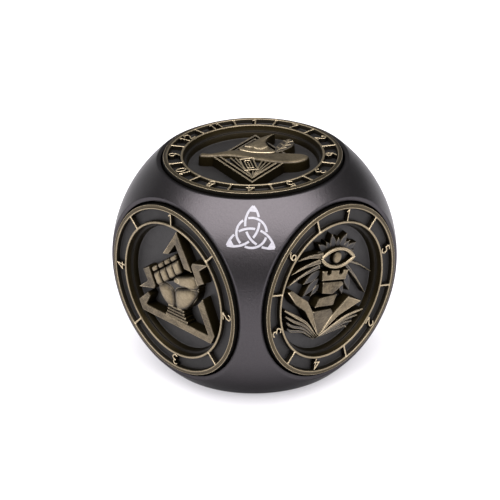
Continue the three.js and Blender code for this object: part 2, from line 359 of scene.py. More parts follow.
def straight(*points):
    return list(points), False


def bent(*points, steps=6):
    return curve(points, steps), False


def looped(cx, cy, rx, ry):
    return ellipse(cx, cy, rx, ry), True


SIX = [looped(0, -0.2, 0.23, 0.24), bent((-0.23, -0.2), (-0.18, 0.12), (0.0, 0.34), (0.2, 0.46))]

DIGITS = {
    "0": [looped(0, 0, 0.25, 0.44)],
    "1": [straight((0.04, -0.5), (0.04, 0.5)), straight((-0.2, 0.28), (0.04, 0.46))],
    "2": [bent((-0.26, 0.22), (-0.14, 0.42), (0.08, 0.44), (0.23, 0.26), (0.14, 0.0), (-0.28, -0.42)),
          straight((-0.3, -0.43), (0.32, -0.41))],
    "3": [bent((-0.24, 0.34), (0.0, 0.45), (0.2, 0.31), (0.12, 0.1), (-0.08, 0.04)),
          bent((-0.08, 0.04), (0.18, -0.04), (0.26, -0.24), (0.04, -0.45), (-0.26, -0.36))],
    "4": [straight((0.14, -0.5), (0.14, 0.48)), straight((0.14, 0.46), (-0.29, -0.16)),
          straight((-0.34, -0.16), (0.34, -0.16))],
    "5": [straight((0.24, 0.43), (-0.2, 0.43)), straight((-0.15, 0.43), (-0.19, 0.04)),
          bent((-0.19, 0.06), (0.04, 0.12), (0.25, -0.06), (0.2, -0.34), (-0.02, -0.45), (-0.26, -0.34))],
    "6": SIX,
    "7": [straight((-0.26, 0.42), (0.28, 0.42)), bent((0.25, 0.42), (0.06, 0.06), (-0.06, -0.48), steps=8)],
    "8": [looped(0, 0.23, 0.19, 0.2), looped(0, -0.21, 0.24, 0.24)],
    "9": [([(-x, -y) for x, y in path], closed) for path, closed in SIX],
}

NUMERAL_HEIGHT = 2.1
NUMERAL_STROKE = 0.23
NUMERAL_TOP = FACE - 0.06
DIGIT_ADVANCE = 0.66


def numeral(value):
    """A number as raised strokes round the origin, upright along +Y."""
    work = Builder()
    digits = str(value)
    centre = (len(digits) - 1) / 2
    for place, each in enumerate(digits):
        offset = (place - centre) * DIGIT_ADVANCE
        for layer, (path, closed) in enumerate(DIGITS[each]):
            points = [((x + offset) * NUMERAL_HEIGHT, y * NUMERAL_HEIGHT) for x, y in path]
            top = NUMERAL_TOP - LAYER * layer
            work.stroke(points, NUMERAL_STROKE, top, CHANNEL_FLOOR - EMBED, closed, soft=0.04, draft=0.06)
    return work


# ---- The cast pictures. Each function adds raised work to a dial, inside its basin.

LOW = BASIN_FLOOR - EMBED  # where raised work starts


class Casting(Builder):
    """Raised work on a basin's floor. `drop` is how far a top is below the emblem's full height."""

    def block(self, outline, drop, soften=0.2, edge=SOFT):
        """A flat-topped block with its corners rounded off."""
        self.relief(rounded(outline, soften), EMBLEM_TOP - drop, LOW, edge)

    def form(self, points, drop, edge=SOFT):
        """A flat-topped block with a smooth outline."""
        self.relief(curve(points, 5, closed=True), EMBLEM_TOP - drop, LOW, edge)

    def swelling(self, points, drop, bulge=0.7, steps=5):
        """A cushion with a smooth outline."""
        self.cushion(curve(points, steps, closed=True), EMBLEM_TOP - drop, LOW, bulge)

    def leaf(self, base, tip, width, drop):
        self.relief(leaf(base, tip, width), EMBLEM_TOP - drop, LOW, SOFT)

    def knob(self, x, y, radius, drop, edge=DOME):
        self.relief(ellipse(x, y, radius, radius), EMBLEM_TOP - drop, LOW, edge)

    def line(self, path, width, drop, soft=0.07, closed=False):
        self.stroke(path, width, EMBLEM_TOP - drop, LOW, closed, soft)


def tapered(path, widest, start=0.1, end=0.1):
    """Widths for a stroke that swells from one end to the middle and thins to the other."""
    last = len(path) - 1
    return [start + (end - start) * i / last + widest * math.sin(math.pi * i / last) for i in range(last + 1)]


def wedge(path, start, end):
    """Widths for a stroke that goes evenly from one width to another."""
    last = len(path) - 1
    return [start + (end - start) * i / last for i in range(last + 1)]


def fist_and_triangle(work):
    broken_triangle(work)
    palm_and_thumb(work)
    fingers(work)
    for i, (left, right) in enumerate(((-1.7, 2.5), (-1.8, 2.6), (-2.0, 2.9), (-2.4, 3.4))):
        top = -3.4 - 0.62 * i
        fold = [(left, top - 0.5), (right, top - 0.4), (right, top + 0.1), (left, top)]
        work.block(fold, 0.2, soften=0.12)


def broken_triangle(work):
    """A triangle in two pieces, with a bolt on either side."""
    upper = [(1.1, 11.9), (-2.7, 6.3), (-1.2, 6.6), (0.7, 9.2), (2.9, 5.2), (4.9, 5.2)]
    lower = [(7.6, 1.0), (6.2, -0.6), (8.8, -5.7), (-7.6, -5.7), (-6.4, -3.6), (-7.1, -3.0),
             (-9.6, -5.3), (-8.6, -7.2), (9.5, -7.2), (10.5, -5.3)]
    work.block(upper, 0.2)
    work.block(lower, 0.15)
    bolt = [(9.2, 8.2), (5.1, 7.2), (4.7, 6.4), (6.3, 3.1), (8.0, 4.1), (6.8, 6.1)]
    work.block(bolt, 0.25)
    work.block([(-x - 0.3, 5.4 - y) for x, y in bolt], 0.25)


def palm_and_thumb(work):
    """The palm with its two heels, and the thumb with its nail."""
    palm = [(-4.3, 0.2), (-3.6, -2.2), (-1.6, -3.7), (1.6, -3.7), (3.9, -2.0), (5.8, 0.4), (6.1, 2.6),
            (4.4, 3.6), (1.0, 2.2), (-2.0, 1.0)]
    work.form(palm, 0.6)
    little_heel = [(-4.2, -0.5), (-3.6, -2.2), (-2.0, -3.6), (-0.3, -3.6), (0.0, -1.9), (-0.4, -0.1),
                   (-2.6, 0.5)]
    work.swelling(little_heel, 0.02)
    thumb_heel = [(0.2, 0.1), (0.1, -2.2), (0.8, -3.8), (3.0, -2.8), (4.9, -0.8), (6.2, 1.4), (5.2, 2.1),
                  (2.6, 1.3)]
    work.swelling(thumb_heel, -0.06, bulge=0.8)
    thumb = [(-0.1, 1.9), (1.5, 1.3), (3.4, 1.6), (5.6, 1.9), (6.5, 3.1), (5.3, 4.5), (2.8, 3.8), (0.8, 3.0)]
    work.swelling(thumb, -0.08)
    nail = capsule((0.7, 2.15), (1.5, 2.35), 0.85, 0.8)
    work.cushion(nail, EMBLEM_TOP + 0.1, LOW, 0.3)


def fingers(work):
    """Four curled fingers side by side. Each shows a short knuckle and a longer middle joint."""
    row = Vector((0.8, 0.6))
    curl = Vector((0.5, -0.866))
    spacing = 2.12
    knuckle = (-1.8, -0.75, 0.06, 0.1)  # from and to along the curl, how much narrower, drop
    joint = (-0.7, 1.8, 0.0, 0.0)
    for i in range(4):
        middle = Vector((-4.3, 1.4)) + row * spacing * i
        half = 0.92 + 0.05 * i
        for start, end, narrower, drop in (knuckle, joint):
            side = row * (half - narrower)
            far, near = middle + curl * end, middle + curl * start
            outline = rounded([far - side, far + side, near + side, near - side], 0.5)
            work.cushion(outline, EMBLEM_TOP + 0.08 - drop, LOW, 0.6)


def tower_eye_and_book(work):
    crest(work)
    eye(work, -0.1, 6.0, 4.5, 2.0)
    rays_and_leaves(work)
    tower(work)
    open_book(work)


def crest(work):
    """A fan of leaves over the eye."""
    for i, length in enumerate((2.0, 3.1, 2.2, 3.4, 2.2, 3.4, 2.2, 3.0, 1.9)):
        angle = math.radians(158 - 17 * i)
        spoke = Vector((math.cos(angle), math.sin(angle) * 0.72))
        base = Vector((-0.1, 5.6)) + spoke * 2.7
        work.leaf(base, base + spoke * (length + 0.6), 0.5 + 0.3 * length, 0.85)


def eye(work, cx, cy, half_width, half_height):
    """A pointed eye: a raised rim round a lower lens, with a domed pupil."""
    upper = arc(cx, cy, half_width, half_height, 0, 180)
    pinch = 0.35
    lens = [(x, cy + (y - cy) * (1 - ((x - cx) / half_width) ** 2) ** pinch) for x, y in upper]
    lens += [(x, 2 * cy - y) for x, y in reversed(lens[1:-1])]
    work.relief(lens, EMBLEM_TOP - 1.0, LOW)
    work.line(inset_outline(lens, 0.3, inward_room(lens)), 0.62, 0.0, soft=0.14, closed=True)
    work.relief(ellipse(cx, cy, 1.15, 1.2), EMBLEM_TOP - 0.05, LOW, DOME)


def rays_and_leaves(work):
    """Rays on both sides of the eye, and the leaves under them: (start, end, width, drop)."""
    for start, end, width, drop in (
        ((3.9, 4.9), (10.3, 2.6), 0.55, 0.9), ((3.2, 4.3), (9.9, -1.4), 0.7, 0.8),
        ((-4.0, 6.5), (-10.0, 5.9), 1.1, 0.3), ((-4.2, 5.5), (-11.0, 3.4), 1.0, 0.3),
        ((-4.0, 4.5), (-11.2, 1.2), 0.9, 0.5),
    ):
        middle = ((start[0] + end[0]) / 2, (start[1] + end[1]) / 2 + 0.25)
        path = curve([start, middle, end], 6)
        work.line(path, wedge(path, width, 0.12), drop, soft=0.12)
    for base, tip, width, drop in (
        ((-3.0, 3.6), (-6.9, 1.2), 1.7, 0.8), ((-3.0, 2.2), (-6.3, -1.2), 1.6, 0.9),
        ((-2.6, 1.0), (-4.4, -1.2), 1.2, 0.9), ((3.1, 3.2), (5.2, -0.6), 1.5, 0.6),
        ((2.7, 1.4), (4.0, -1.4), 1.2, 0.9),
    ):
        work.leaf(base, tip, width, drop)


def tower(work):
    """A battlement, and the twisted blocks that it stands on."""
    battlement = [(-3.4, 3.7), (-3.0, 1.8), (3.0, 1.8), (3.4, 3.7), (2.1, 3.7), (2.0, 2.95), (1.1, 2.95),
                  (1.0, 3.7), (-1.0, 3.7), (-1.1, 2.95), (-2.0, 2.95), (-2.1, 3.7)]
    work.block(battlement, 0.05, soften=0.12)
    work.block([(-2.6, 1.5), (-2.2, -0.6), (0.6, -0.9), (3.0, 0.9), (2.4, 1.5)], 0.15)
    work.block([(-2.6, -1.5), (-3.3, -3.2), (1.4, -3.0), (1.8, -0.9), (-1.4, -1.3)], 0.2)
    work.block([(-3.5, -3.9), (-1.1, -8.6), (1.0, -7.0), (1.9, -4.5), (1.1, -3.6)], 0.25)


def open_book(work):
    """Two covers, and four pages that hang lower and lower under each."""
    right = [(-1.1, -8.6), (3.4, -5.1), (8.6, -2.6), (5.0, -1.5), (1.9, -4.5), (0.6, -6.4)]
    work.block(right, 0.1)
    left = [(-1.2, -8.4), (-3.5, -4.0), (-5.6, -1.7), (-8.0, -0.6), (-10.0, 0.5), (-11.2, 0.2), (-8.6, -2.2),
            (-5.8, -3.6)]
    work.block(left, 0.1)
    for i in range(4):
        sag = 0.95 * (i + 1)
        drop = 0.2 + 0.22 * i
        page = curve([(-1.3, -8.6 - 0.25 * i), (-4.4, -5.5 - 0.6 * sag), (-7.6, -3.6 - sag),
                      (-10.9 + 0.75 * i, -1.9 - 1.3 * sag)], 7)
        work.line(page, tapered(page, 0.36, 0.14, 0.3), drop, soft=0.12)
        page = curve([(-0.8, -8.7 - 0.2 * i), (2.9, -6.2 - 0.55 * sag), (6.0, -4.5 - 0.8 * sag),
                      (9.6 - 0.9 * i, -3.2 - 1.2 * sag)], 7)
        work.line(page, tapered(page, 0.36, 0.14, 0.26), drop, soft=0.12)


def hat_and_diamond(work):
    diamond_lines(work)
    playing_card(work)
    hat(work)
    hat_feather(work)


DIAMOND = [(0.2, 9.6), (-6.9, -0.6), (0.2, -11.0), (7.3, -0.6)]  # top, left, bottom, right


def drawn_in(points, scale):
    """Points of the diamond, drawn in towards the middle of its waist."""
    return [(x * scale, -0.6 + (y + 0.6) * scale) for x, y in points]


def diamond_lines(work):
    """A double-lined diamond. Its lower half is a plate with a fan of thin lines on it."""
    top, left, bottom, right = DIAMOND
    for i, side in enumerate(((top, left), (top, right))):
        for scale in (1.0, 0.84):
            work.line(drawn_in(side, scale), 0.36, 0.6 + LAYER * i)
    work.block([left, bottom, right, (0.2, 1.0)], 0.75, soften=0.1)
    # The lines on the right stop at the hat's brim.
    for scale, kept in ((0.98, 0.735), (0.82, 0.695)):
        left, foot, right = (Vector(point) for point in drawn_in(DIAMOND[1:], scale))
        work.line([left, foot, foot.lerp(right, kept)], 0.36, 0.15, soft=0.09)
    focus = (0.2, -8.6)
    for end in ((-3.9, -0.9), (-3.0, -1.0), (1.7, -2.3), (2.4, -2.6), (3.1, -2.9), (4.0, -3.2)):
        work.line([focus, end], [0.16, 0.3], 0.22, soft=0.06)


def playing_card(work):
    """A tilted card with a plain frame and three pips, and a short line under it."""
    cx, cy = -0.6, -3.7
    c, s = math.cos(math.radians(13)), math.sin(math.radians(13))
    for half_x, half_y, width in ((1.15, 2.35, 0.26), (0.5, 1.55, 0.2)):
        corners = [(-half_x, -half_y), (half_x, -half_y), (half_x, half_y), (-half_x, half_y)]
        frame_line = [(cx + x * c - y * s, cy + x * s + y * c) for x, y in corners]
        work.line(frame_line, width, 0.12, soft=0.06, closed=True)
    for k in (-1, 0, 1):
        work.knob(cx - 0.75 * k * s, cy + 0.75 * k * c, 0.2, 0.12, edge=EDGE)
    work.line([(0.2, -8.0), (0.2, -6.6)], 0.26, 0.2, soft=0.06)


def hat(work):
    """A wide-brimmed pointed hat with a band and two folds."""
    brim = [(-9.6, 0.5), (-9.2, -0.3), (-7.0, -0.4), (-4.4, -0.1), (-1.6, -0.9), (1.4, -2.0), (4.6, -3.0),
            (7.6, -3.0), (9.6, -1.8), (10.0, -0.4), (8.8, 0.6), (6.4, 0.9), (3.6, 1.1), (0.8, 1.7),
            (-2.4, 2.4), (-5.0, 1.9), (-7.6, 0.9), (-9.0, 1.2)]
    work.form(brim, 0.05, edge=DOME)
    band = [(-2.6, 2.4), (-0.6, 1.1), (2.0, 0.7), (4.0, 1.0), (3.4, 2.1), (1.2, 1.7), (-0.9, 2.3),
            (-2.1, 3.3)]
    work.form(band, -0.05)
    cone = [(3.7, 9.5), (1.4, 7.9), (-0.6, 5.4), (-1.9, 3.6), (-1.4, 2.4), (0.6, 1.9), (3.0, 2.2), (2.9, 3.6),
            (2.3, 5.4), (2.8, 7.4)]
    work.swelling(cone, -0.1, bulge=0.6, steps=4)
    for start, end in (((-1.5, 3.6), (1.2, 4.1)), ((0.2, 2.9), (2.5, 3.3))):
        fold = curve([start, ((start[0] + end[0]) / 2, start[1] - 0.3), end], 6)
        work.line(fold, tapered(fold, 0.3), -0.03, soft=0.05)


def hat_feather(work):
    """A feather behind the hat: its vane, its quill and three pairs of barbs."""
    vane = [(3.9, 1.8), (5.4, 2.6), (6.9, 4.2), (7.3, 6.0), (6.4, 7.6), (5.0, 6.3), (4.1, 4.4)]
    work.form(vane, 0.4)
    quill = curve([(4.2, 2.2), (5.6, 4.4), (6.3, 7.0)], 6)
    work.line(quill, wedge(quill, 0.34, 0.16), 0.28, soft=0.08)
    for point in quill[3:12:3]:
        foot = Vector(point)
        for barb in (Vector((-0.65, 0.95)), Vector((1.05, 0.55))):
            work.line([foot, foot + barb], [0.2, 0.1], 0.31, soft=0.05)


def sword(work, tip, pommel, drop):
    """A straight sword with a fullered blade, a cross guard and a round pommel."""
    tip, pommel = Vector(tip), Vector(pommel)
    along = (tip - pommel).normalized()
    across = Vector((-along.y, along.x))
    guard = pommel + along * 4.2
    shoulder = tip - along * 1.9
    blade = [shoulder - across * 0.7, tip, shoulder + across * 0.7,
             guard + across * 0.85, guard - across * 0.85]
    work.block(blade, drop, soften=0.1)
    work.line([guard, tip - along * 2.6], 0.3, drop - 0.1, soft=0.1)
    work.line([guard - across * 2.2, guard + across * 2.2], 0.9, drop - 0.12, soft=0.16)
    work.line([pommel, guard], 0.8, drop + 0.02, soft=0.2)
    work.knob(pommel.x, pommel.y, 0.95, drop - 0.05)


def helmet_and_swords(work):
    sword(work, (8.2, 7.4), (-7.4, -7.6), 0.55)
    sword(work, (-8.2, 7.4), (7.4, -7.6), 0.5)
    skull = [(-4.7, 1.5), (4.7, 1.5), (4.6, 3.6), (3.0, 6.0), (0, 7.1), (-3.0, 6.0), (-4.6, 3.6)]
    work.cushion(rounded(skull, 0.6), EMBLEM_TOP, LOW, 0.6)
    half_mask = [(0.3, 0.0), (1.5, 0.5), (4.6, 0.5), (4.4, -3.4), (2.6, -6.0), (0.3, -7.4)]
    for side in (-1, 1):
        cheek = [(side * x, y) for x, y in half_mask]
        work.block(cheek if side < 0 else cheek[::-1], 0.1)
        for i in range(4):
            y = -1.0 - 1.15 * i
            work.line([(side * 1.2, y), (side * (3.7 - 0.45 * i), y + 0.5)], 0.4, -0.06, soft=0.12)
        work.line([(side * 0.2, 2.2), (side * 4.5, 2.5)], 0.5, -0.04, soft=0.14)
    work.line([(0, 1.9), (0, 6.6)], 0.7, -0.08, soft=0.15)
    for i, tip in enumerate(((-4.6, 9.6), (-2.7, 10.8), (-0.4, 11.2), (1.9, 10.6))):
        work.leaf((0.1, 6.7), tip, 1.7, 0.3 + 0.02 * i)


def bow_and_kite(work):
    kite = [(0, 10.6), (-7.4, -1.6), (0, -9.4), (7.4, -1.6)]
    for scale, width, drop in ((1.0, 0.5, 0.35), (0.84, 0.36, 0.55)):
        work.line([(x * scale, y * scale) for x, y in kite], width, drop, soft=0.1, closed=True)
    limbs = curve([(-6.4, 7.6), (-1.6, 6.6), (3.0, 3.0), (4.6, 0.6), (6.2, -2.4), (7.4, -6.6)], 8)
    work.line(limbs, tapered(limbs, 1.1, 0.35, 0.35), 0.05, soft=0.2)
    work.line([(-6.2, 7.4), (-3.4, -3.4), (7.2, -6.4)], 0.26, 0.35, soft=0.08)
    arrow(work, Vector((-7.2, -6.4)), Vector((8.0, 6.8)))
    grip = [(2.3, 3.7), (5.2, -0.4)]
    work.line(grip, 1.5, -0.02, soft=0.3)


def arrow(work, tail, tip):
    """A straight arrow with a barbed head and four pairs of vanes."""
    along = (tip - tail).normalized()
    across = Vector((-along.y, along.x))
    work.line([tail, tip], 0.6, -0.05, soft=0.15)
    barb = tip - along * 1.9
    head = [tip + along * 1.6, barb + across * 1.5, tip - along * 1.1, barb - across * 1.5]
    work.block(head, -0.1, soften=0.08)
    for i in range(4):
        foot = tail + along * (0.5 + 0.85 * i)
        for side in (-1, 1):
            vane = [foot, foot + across * 1.5 * side - along * 1.1]
            work.line(vane, [0.5, 0.24], 0.05 + 0.01 * i, soft=0.1)


def crown_and_hexagon(work):
    outer = polygon(6, 10.6)
    inner = polygon(3, 6.4, 270)
    work.line(outer, 0.55, 0.3, soft=0.12, closed=True)
    work.line(inner, 0.4, 0.5, soft=0.1, closed=True)
    for i, corner in enumerate(inner):
        for k in (-1, 0, 1):
            nearest = outer[(3 + 2 * i + k) % 6]
            work.line([corner, nearest], 0.36, 0.52 + LAYER * k, soft=0.1)
    crown = [(-5.2, -2.6), (5.2, -2.6), (6.6, 4.4), (3.2, 1.2), (0.0, 6.0), (-3.2, 1.2), (-6.6, 4.4)]
    work.block(crown, 0.1, soften=0.4, edge=DOME)
    hem = curve([(-5.2, -2.9), (0, -3.7), (5.2, -2.9)], 6)
    work.line(hem, 1.2, 0.0, soft=0.22)
    for x, y, radius in ((-6.7, 4.9, 0.75), (0, 6.6, 0.9), (6.7, 4.9, 0.75), (-2.6, -3.3, 0.45),
                         (0, -3.6, 0.5), (2.6, -3.3, 0.45)):
        work.knob(x, y, radius, -0.08)


# ---- Dials

FACES = {
    # die: (outward normal, upright direction, turn at rest in degrees,
    #       numbers clockwise from the top, picture)
    "d4": ((0, -1, 0), (0, 0, 1), 0.0, (1, 2, 3, 4), fist_and_triangle),
    "d6": ((1, 0, 0), (0, 0, 1), -16.7, (1, 5, 2, 4, 3, 6), tower_eye_and_book),
    "d8": ((0, 1, 0), (0, 0, 1), 0.0, (1, 6, 3, 8, 2, 7, 4, 5), helmet_and_swords),
    "d10": ((-1, 0, 0), (0, 0, 1), 0.0, (1, 6, 3, 8, 5, 10, 2, 7, 4, 9), bow_and_kite),
    "d12": ((0, 0, 1), (0, 1, 0), 45.0, (1, 7, 2, 6, 3, 5, 4, 8, 10, 9, 12, 11), hat_and_diamond),
    "d20": ((0, 0, -1), (0, 1, 0), 0.0,
            (20, 8, 14, 2, 17, 5, 12, 10, 19, 3, 16, 6, 13, 9, 1, 18, 4, 15, 7, 11), crown_and_hexagon),
}


def face_matrix(normal, up):
    """From a dial's own frame to the part's."""
    z = Vector(normal).normalized()
    y = Vector(up).normalized()
    return Matrix((y.cross(z), y, z)).transposed().to_4x4()


SCREW_HOLE_R = 1.56
SPIGOT_R = 3.08
COLLAR_R = 4.0  # the step that stands on the bearing's inner ring
HUB_GAP = 0.02  # between neighbouring pieces of a hub
RIM_INNER_R = DIAL_R - 1.0
RING_OUTER_R = 12.9  # the ring between the numbers and the picture
NUMERAL_R = (RING_OUTER_R + RIM_INNER_R) / 2

# Across the rim from its flank inwards, as (inset, drop): an outer band, then a bead a little higher.
RIM = ((0, 0.3), (0.03, 0.18), (0.09, 0.1), (0.18, 0.08), (0.48, 0.08), (0.54, 0.05), (0.6, 0.01),
       (0.68, 0), (0.76, 0.01), (0.83, 0.06), (0.88, 0.16))
# Across the inner ring from its outer side, as (radius, drop).
INNER_RING = ((12.87, 0.16), (12.82, 0.07), (12.73, 0.02), (12.64, 0), (12.55, 0.02), (12.46, 0.07),
              (12.41, 0.16))


def dial_profile():
    """From the back of the hub, round the rim, to the middle of the basin, as (radius, height)."""
    hub = [(0, BEARING_TOP), (SCREW_HOLE_R, BEARING_TOP), (SCREW_HOLE_R, 12.4), (SPIGOT_R - 0.18, 12.4),
           (SPIGOT_R, 12.6), (SPIGOT_R, BEARING_TOP + HUB_GAP), (COLLAR_R, BEARING_TOP + HUB_GAP)]
    back = [(COLLAR_R, FACE - 2.75), (4.2, FACE - 2.72), (12.85, FACE - 2.72), (13.0, FACE - 2.6),
            (13.0, FACE - 2.1), (13.2, FACE - 2.0), (DIAL_R - 0.25, FACE - 2.0), (DIAL_R, FACE - 1.8)]
    rim = [(DIAL_R - inset, FACE - drop) for inset, drop in RIM]
    channel = [(RIM_INNER_R, CHANNEL_FLOOR + 0.08), (RIM_INNER_R - 0.1, CHANNEL_FLOOR),
               (RING_OUTER_R + 0.08, CHANNEL_FLOOR), (RING_OUTER_R, CHANNEL_FLOOR + 0.08)]
    ring = [(radius, FACE - drop) for radius, drop in INNER_RING]
    wall_and_ledge = [(12.3, FACE - 1.0), (12.2, FACE - 1.1), (11.86, FACE - 1.12), (11.76, FACE - 1.22)]
    basin = [(11.62, BASIN_FLOOR + 0.22), (11.56, BASIN_FLOOR + 0.06), (11.4, BASIN_FLOOR),
             (6.0, BASIN_FLOOR), (0, BASIN_FLOOR)]
    return hub + back + rim + channel + ring + wall_and_ledge + basin


def tick():
    """The raised line between two sectors, from the inner ring to the rim."""
    work = Builder()
    work.stroke([(0, 12.7), (0, DIAL_R - 0.85)], 0.3, FACE - 0.04, CHANNEL_FLOOR - EMBED, soft=0.06)
    return work


def dial(die, material):
    normal, up, turn, numbers, picture = FACES[die]
    work = Casting()
    work.lathe(dial_profile())
    sector = 2 * math.pi / len(numbers)
    for i, number in enumerate(numbers):
        work.placed(numeral(number), turn=-i * sector, shift=(0, NUMERAL_R))
        work.placed(tick(), turn=-(i + 0.5) * sector)
    picture(work)
    turned = Builder()
    turned.placed(work, turn=math.radians(turn))
    piece = turned.build(f"{die}_dial_casting", material, face_matrix(normal, up), level=True)
    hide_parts(f"{die}_dial")
    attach(piece, f"{die}_rotor")


# ---- Body

def shell_profile():
    """One pocket from its bottom out to the flat's rounded edge, as (radius, height)."""
    seat = BEARING_R + 0.06
    well = [(0, 8.92), (5.3, 8.92), (5.45, 9.1), (5.45, BEARING_BOTTOM)]
    bearing_seat = [(seat, BEARING_BOTTOM), (seat, FACE - 3.5), (seat + 0.3, FACE - 3.2)]
    step = [(13.4, FACE - 3.2), (13.6, FACE - 3.0), (13.6, FACE - 2.5), (13.75, FACE - 2.4)]
    pocket = [(POCKET_R - 0.15, FACE - 2.4), (POCKET_R, FACE - 2.25), (POCKET_R, FLAT - 0.14),
              (POCKET_R + 0.03, FLAT - 0.05), (POCKET_R + 0.1, FLAT)]
    fillet_z = FLAT - SHELL_FILLET
    fillet_r = math.sqrt((BALL_R - SHELL_FILLET) ** 2 - fillet_z ** 2)
    onto_ball = math.degrees(math.atan2(fillet_z, fillet_r))
    fillet = arc(fillet_r, fillet_z, SHELL_FILLET, SHELL_FILLET, 90, onto_ball, 6)
    return well + bearing_seat + step + pocket + fillet


def ball_ring(first, share):
    """A ring round the ball, a share of the way from the flat's edge to where two faces' parts meet.

    `first` is the angle from the dial's axis to the flat's edge.
    """
    points = []
    for a in turns(TURN_STEPS):
        last = math.atan(1 / max(abs(math.cos(a)), abs(math.sin(a))))
        from_pole = first + (last - first) * share
        points.append(Vector(polar(math.sin(from_pole), a, math.cos(from_pole))) * BALL_R)
    return points


def body_shell(material):
    """Six pockets and the round surface between them. Each pocket's part ends where two faces meet."""
    profile = shell_profile()
    first = math.atan2(*profile[-1])
    bands = 10
    rings = [circle(radius, height, TURN_STEPS) for radius, height in profile]
    rings += [ball_ring(first, band / bands) for band in range(1, bands + 1)]
    work = Builder()
    for normal, up, *_ in FACES.values():
        matrix = face_matrix(normal, up)
        work.bridges([work.ring([matrix @ Vector(point) for point in ring]) for ring in rings])
    piece = work.build("body_shell", material, sharp=50, weld=0.002)
    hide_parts("shell")
    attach(piece, "root")


# The pointer mark: a three-cornered interlaced knot with a ring through it, printed on a corner.
KNOT_ARC_R = 4.23  # three arcs of this radius
KNOT_ARC_OUT = 3.5  # their centres' distance from the knot's own
KNOT_RING_R = 2.6
KNOT_LINE = 0.4
KNOT_GAP = 0.48  # half the break in a band that passes under another
KNOT_FILLED = 17  # degrees of arc that the solid points take up
KNOT_THICKNESS = 0.03
KNOT_BASE = -0.1  # how far the print reaches into the body
KNOT_TILT = -3.6  # degrees
KNOT_SHIFT = 0.3  # to the right
KNOT_CORNER = (1, -1, 1)
KNOT_UP = (-1, 1, 2)


def triangle_angle(a, b, opposite):
    """The angle between sides a and b of a triangle, in degrees."""
    return math.degrees(math.acos((a * a + b * b - opposite * opposite) / (2 * a * b)))


def knot_line(work, path, top):
    work.stroke(path, KNOT_LINE, top, KNOT_BASE, soft=0.0, draft=0.0)


def knot_lines():
    """The knot, drawn flat round the origin."""
    out, radius, ring = KNOT_ARC_OUT, KNOT_ARC_R, KNOT_RING_R
    tip = (out + math.sqrt(4 * radius ** 2 - 3 * out ** 2)) / 2
    # Along an arc, counted in degrees from the point nearest the knot's middle:
    at_tip = triangle_angle(out, radius, tip)
    at_ring = triangle_angle(out, radius, ring)
    at_arc = triangle_angle(out, radius, tip - out)
    gap = math.degrees(KNOT_GAP / radius)
    ring_gap = math.degrees(KNOT_GAP / ring)
    ring_crossing = triangle_angle(out, ring, radius)
    work = Builder()
    for facing in (30, 150, 270):
        centre = polar(out, math.radians(facing), 0)[:2]
        nearest = facing + 180
        # An arc goes over the ring, under an arc, over an arc and under the ring.
        for start, end in ((-at_tip, -at_arc - gap), (gap - at_arc, at_ring - gap), (at_ring + gap, at_tip)):
            path = arc(*centre, radius, radius, nearest + start, nearest + end, 24)
            knot_line(work, path, KNOT_THICKNESS)
        start = facing + ring_crossing + ring_gap
        knot_line(work, arc(0, 0, ring, ring, start, start + 120 - 2 * ring_gap, 32), KNOT_THICKNESS - 0.003)
        # The point between this arc's end and the next one's start, filled in.
        side = arc(*centre, radius, radius, nearest + at_tip - KNOT_FILLED, nearest + at_tip, 8)
        mirror = [reflected(point, facing - 60) for point in reversed(side[:-1])]
        point = list(reversed(side + mirror))
        work.relief(point, KNOT_THICKNESS - 0.002, KNOT_BASE, edge=((0, 0),), draft=0.0)
    return work


def reflected(point, angle):
    """A point mirrored in the line through the origin at an angle in degrees."""
    a = math.radians(2 * angle)
    x, y = point
    return (x * math.cos(a) + y * math.sin(a), x * math.sin(a) - y * math.cos(a))


def pointer_knot(material):
    """The knot, bent onto the ball at one of its corners."""
    tilt = Matrix.Rotation(math.radians(KNOT_TILT), 4, "Z")
    matrix = face_matrix(KNOT_CORNER, KNOT_UP) @ Matrix.Rotation(KNOT_SHIFT / BALL_R, 4, "Y") @ tilt
    work = knot_lines()
    for i, (x, y, z) in enumerate(work.verts):
        on_ball = math.sqrt(BALL_R ** 2 - x * x - y * y)
        work.verts[i] = matrix @ Vector((x, y, z + on_ball))
    piece = work.build("pointer_knot", material)
    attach(piece, "root")


# ---- Bearings and hub hardware, behind each dial

BEARING_MIDDLE = (BEARING_TOP + BEARING_BOTTOM) / 2
BEARING_EDGE = 0.15
BEARING_STEPS = 96
BORE_R = 3.175
PITCH_R = (BEARING_R + BORE_R) / 2
RACE_R = 0.83
BALL_SIZE = 0.72
BALL_COUNT = 10
INNER_SHOULDER_R = 4.2
OUTER_SHOULDER_R = 5.3
CAGE_INNER_R, CAGE_OUTER_R = 4.45, 5.0
CAGE_STRIP = 0.16  # the ribbon's thickness
WASHER_R = 4.0
WASHER_TOP = BEARING_BOTTOM - HUB_GAP
WASHER_BOTTOM = WASHER_TOP - 0.6


def race(shoulder):
    """The ball groove in a ring, from its low side to its high side."""
    side = 1 if shoulder > PITCH_R else -1
    half = math.degrees(math.acos(abs(shoulder - PITCH_R) / RACE_R))
    return arc(PITCH_R, BEARING_MIDDLE, side * RACE_R, RACE_R, -half, half, 10)


def outer_ring():
    low, high = BEARING_BOTTOM + HUB_GAP, BEARING_TOP
    work = Builder()
    work.lathe([(BEARING_R - BEARING_EDGE, low), (BEARING_R, low + BEARING_EDGE),
                (BEARING_R, high - BEARING_EDGE), (BEARING_R - BEARING_EDGE, high),
                (OUTER_SHOULDER_R, high), *reversed(race(OUTER_SHOULDER_R)), (OUTER_SHOULDER_R, low)],
               BEARING_STEPS, closed=True)
    return work


